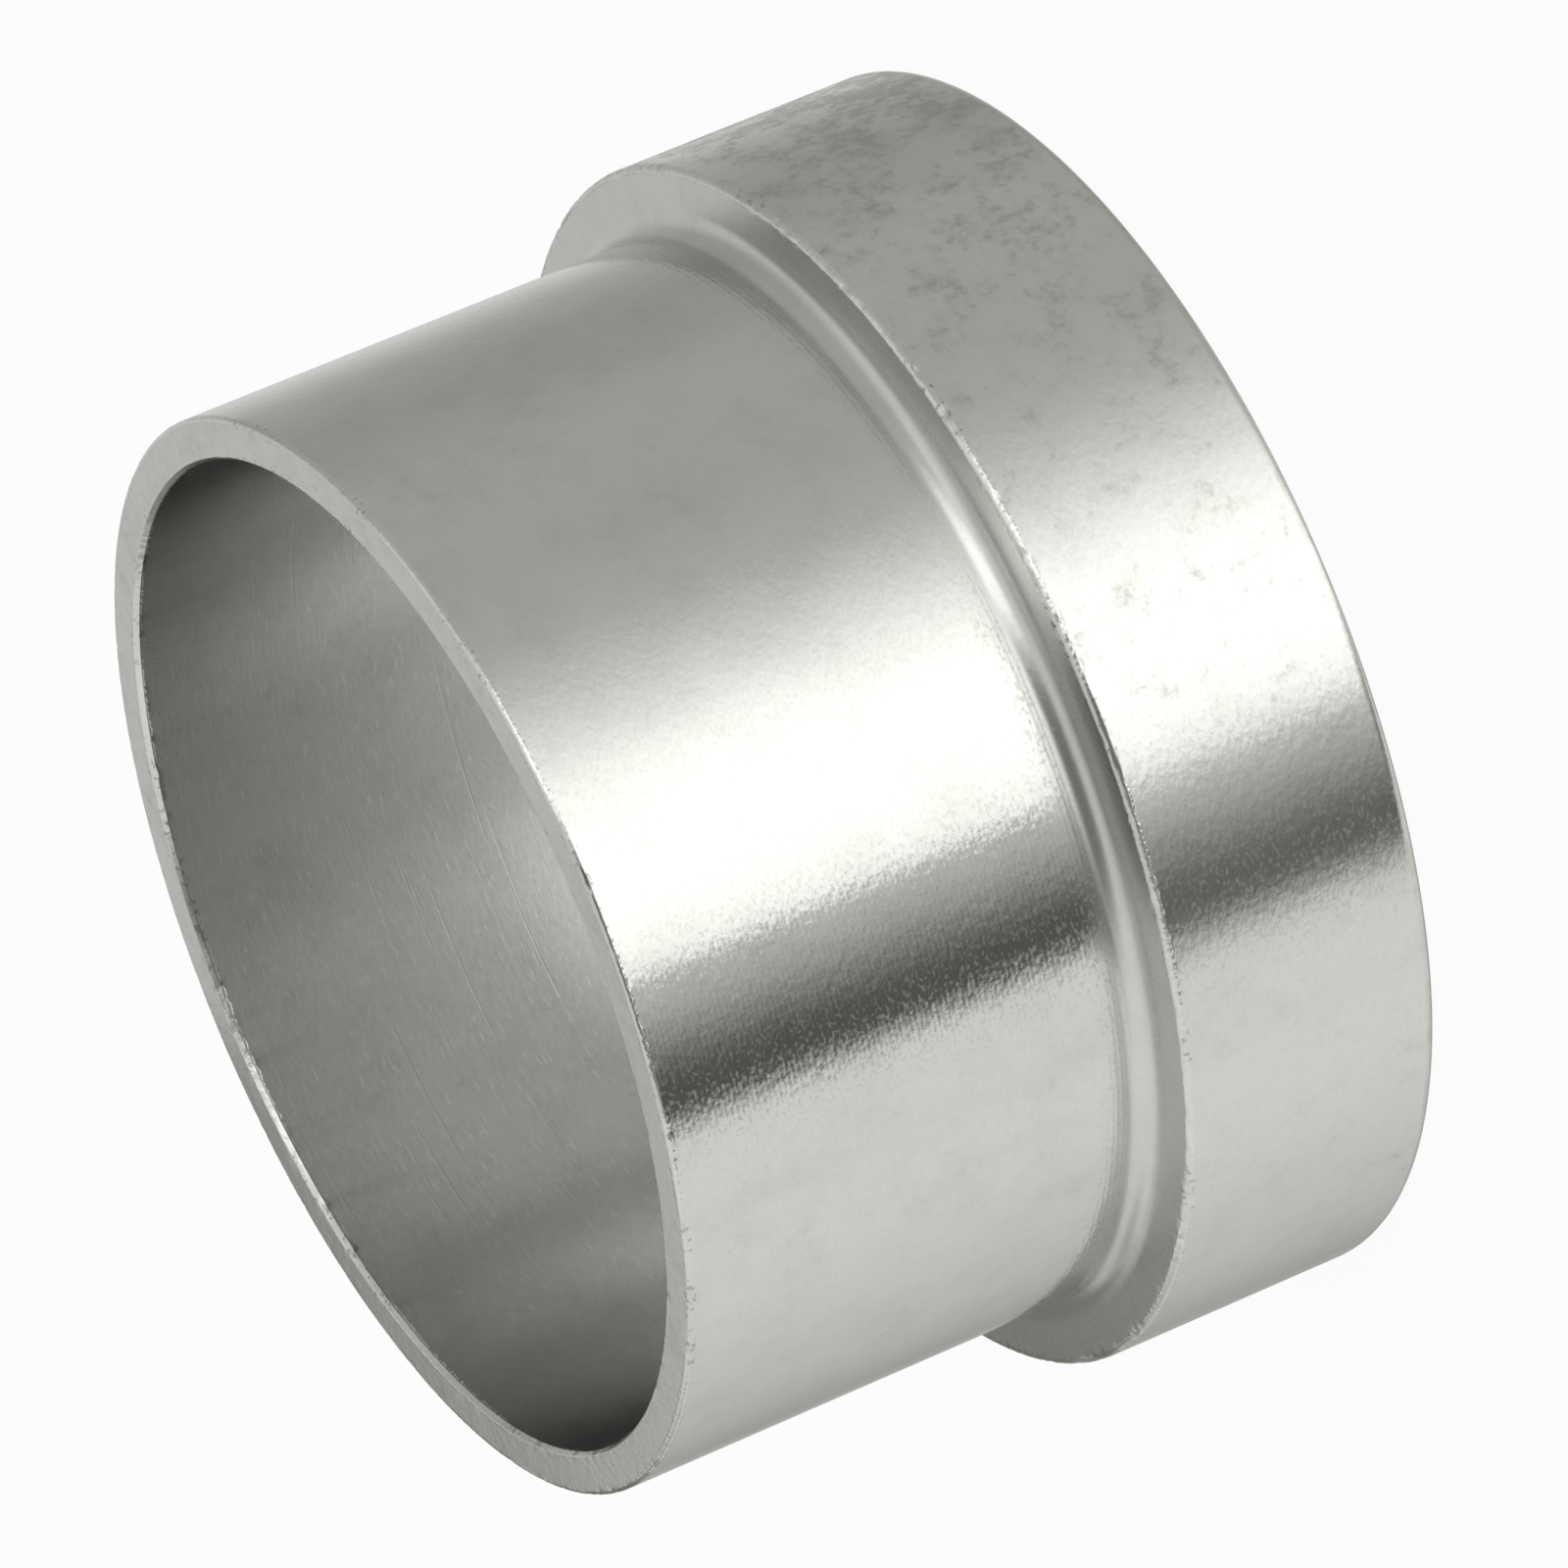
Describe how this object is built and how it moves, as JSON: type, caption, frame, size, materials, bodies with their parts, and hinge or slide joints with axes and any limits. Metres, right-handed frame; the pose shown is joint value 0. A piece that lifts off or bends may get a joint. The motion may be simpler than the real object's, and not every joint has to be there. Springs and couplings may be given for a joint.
{
  "type": "flare tube sleeve",
  "caption": "Turned sleeve that slips along a tube and backs its 37 degree flare: thin body, square shoulder for the nut, and a wider head with a conical seat.",
  "frame": {"origin": "on the turning axis, in the plane of the flare end face that the sleeve stands on", "axes": "+Z along the turning axis, from the flare end to the thin end; the part is round, so X and Y are free"},
  "size_m": [0.039, 0.039, 0.0246],
  "materials": {
    "plated_steel": "bright zinc plate over fine turning marks"
  },
  "bodies": {
    "root": {"flare_sleeve": "plated_steel"}
  },
  "joints": []
}
